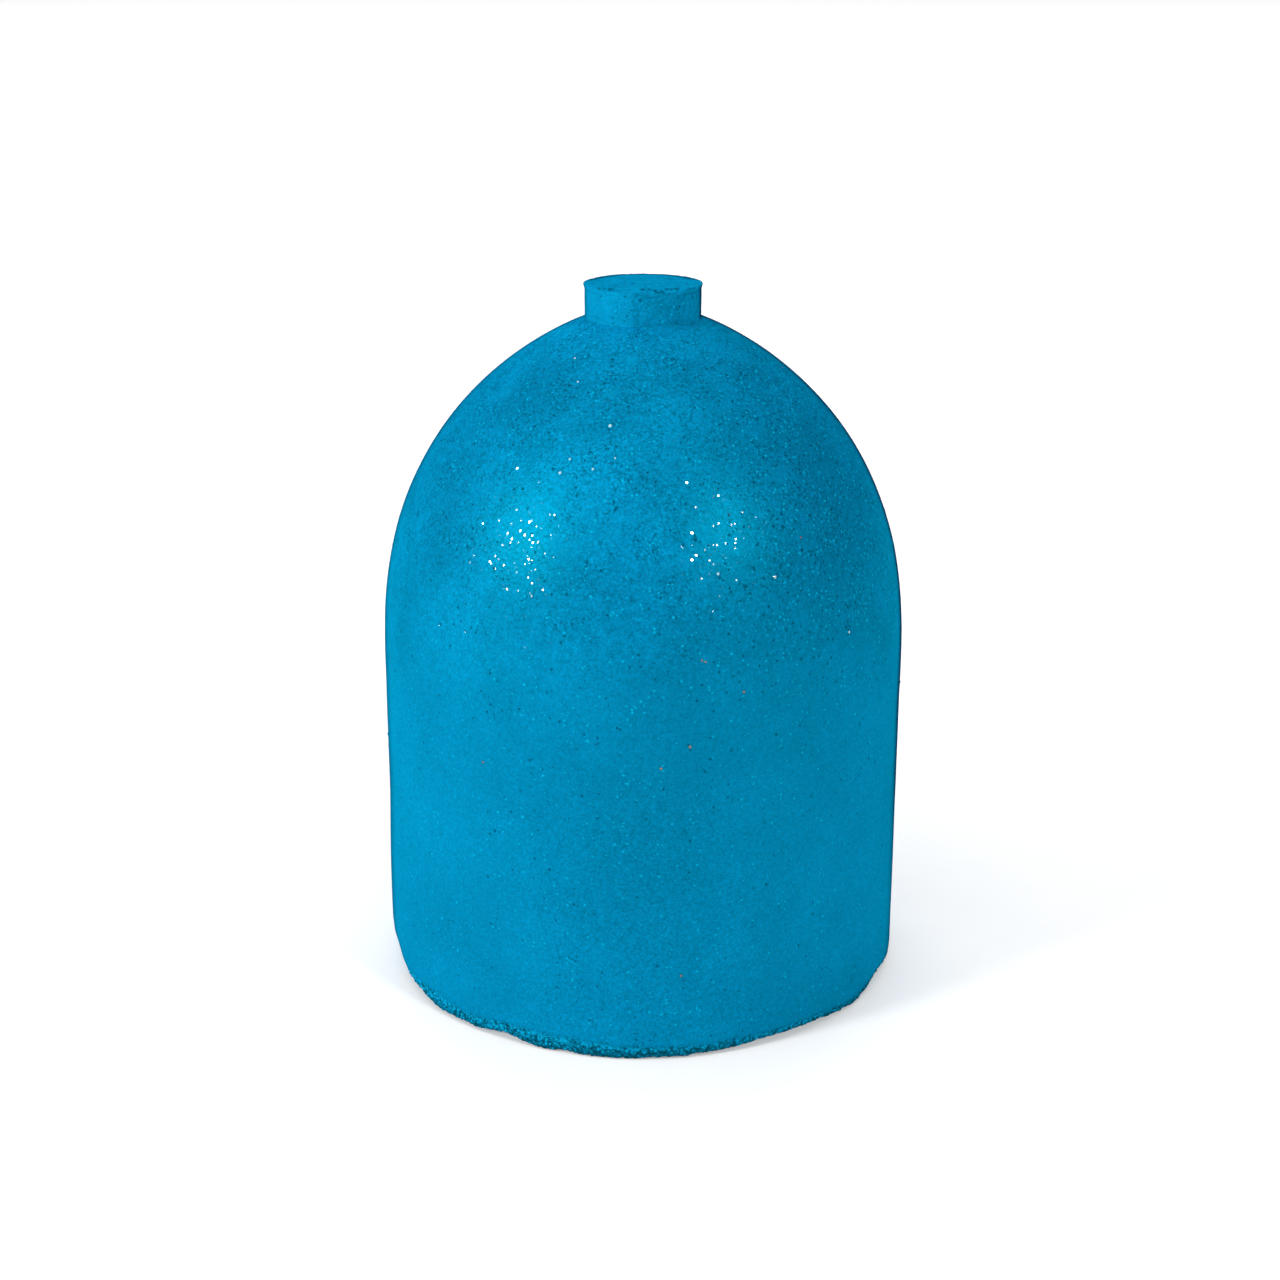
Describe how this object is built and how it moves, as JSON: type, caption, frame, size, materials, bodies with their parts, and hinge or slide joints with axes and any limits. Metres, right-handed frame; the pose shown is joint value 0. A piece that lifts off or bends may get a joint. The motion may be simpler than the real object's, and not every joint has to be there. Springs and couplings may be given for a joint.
{
  "type": "guitar slide",
  "caption": "Closed-end guitar slide in the form of a small domed bottle: hollow glazed body, push-in neck stopper with rubber band, leather finger liner.",
  "frame": {"origin": "centre of the open rim's resting plane, on the bore's axis", "axes": "+Z along the bore's axis, from the open rim up to the neck; -Y faces the viewer; the liner's butt joint is on the +Y side"},
  "size_m": [0.028, 0.028, 0.0374],
  "materials": {
    "blue_glaze": "satin blue glaze, fine grain, pitted, raw crumbled rim",
    "stopper_glaze": "same satin blue glaze, worn through along the head's edge",
    "black_rubber": "matt moulded rubber",
    "tan_leather": "undyed vegetable-tanned leather, grain side in"
  },
  "bodies": {
    "slide": {"slide_body": "blue_glaze", "finger_liner": "tan_leather"},
    "stopper": {"neck_stopper": "stopper_glaze", "stopper_band": "black_rubber"}
  },
  "joints": [
    {"name": "stopper_pull", "type": "slide", "parent": "slide", "child": "stopper", "axis": [0, 0, 1], "range_m": [0, 0.0065]}
  ]
}
